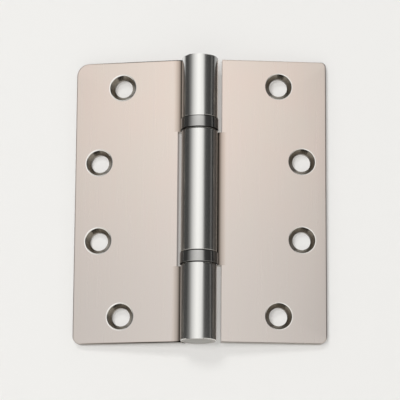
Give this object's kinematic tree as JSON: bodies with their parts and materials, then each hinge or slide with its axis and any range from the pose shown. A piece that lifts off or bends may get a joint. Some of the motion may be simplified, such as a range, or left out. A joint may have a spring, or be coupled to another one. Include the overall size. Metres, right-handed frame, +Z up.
{
  "type": "ball bearing butt hinge",
  "caption": "Full mortise butt hinge with countersunk leaves, rolled knuckles, a headed pin and ball thrust bearings between the knuckles, shown swung a little past flat.",
  "frame": {"origin": "on the pin's axis, at the barrel's lower end", "axes": "+Z up along the pin, +Y towards the backs of the leaves, the jamb leaf along -X, the door leaf along +X and swung 16 degrees past flat towards +Y"},
  "size_m": [0.0993, 0.0254, 0.1147],
  "materials": {
    "leaf_nickel": "satin nickel plate",
    "pin_steel": "satin nickel plate",
    "bearing_steel": "turned hardened steel",
    "ball_steel": "polished hardened steel"
  },
  "bodies": {
    "jamb_side": {"jamb_leaf": "leaf_nickel", "hinge_pin": "pin_steel", "bottom_plug": "pin_steel", "upper_bearing_cup": "bearing_steel", "lower_bearing_race": "bearing_steel"},
    "door_side": {"door_leaf": "leaf_nickel", "lower_bearing_cup": "bearing_steel", "upper_bearing_race": "bearing_steel"},
    "upper_balls": {"upper_ball_1": "ball_steel", "upper_ball_2": "ball_steel", "upper_ball_3": "ball_steel", "upper_ball_4": "ball_steel", "upper_ball_5": "ball_steel", "upper_ball_6": "ball_steel", "upper_ball_7": "ball_steel", "upper_ball_8": "ball_steel", "upper_ball_9": "ball_steel", "upper_ball_10": "ball_steel"},
    "lower_balls": {"lower_ball_1": "ball_steel", "lower_ball_2": "ball_steel", "lower_ball_3": "ball_steel", "lower_ball_4": "ball_steel", "lower_ball_5": "ball_steel", "lower_ball_6": "ball_steel", "lower_ball_7": "ball_steel", "lower_ball_8": "ball_steel", "lower_ball_9": "ball_steel", "lower_ball_10": "ball_steel"}
  },
  "joints": [
    {"name": "leaf_swing", "type": "hinge", "parent": "jamb_side", "child": "door_side", "pos_m": [0, 0, 0.05715], "axis": [0, 0, 1], "range_deg": [-196, 104]},
    {"name": "upper_ball_orbit", "type": "hinge", "parent": "jamb_side", "child": "upper_balls", "pos_m": [0, 0, 0.0867], "axis": [0, 0, 1], "range_deg": [-98, 52]},
    {"name": "lower_ball_orbit", "type": "hinge", "parent": "jamb_side", "child": "lower_balls", "pos_m": [0, 0, 0.0326], "axis": [0, 0, 1], "range_deg": [-98, 52]}
  ],
  "couplings": [
    {"joint": "upper_ball_orbit", "follows": "leaf_swing", "ratio": 0.5},
    {"joint": "lower_ball_orbit", "follows": "leaf_swing", "ratio": 0.5}
  ]
}
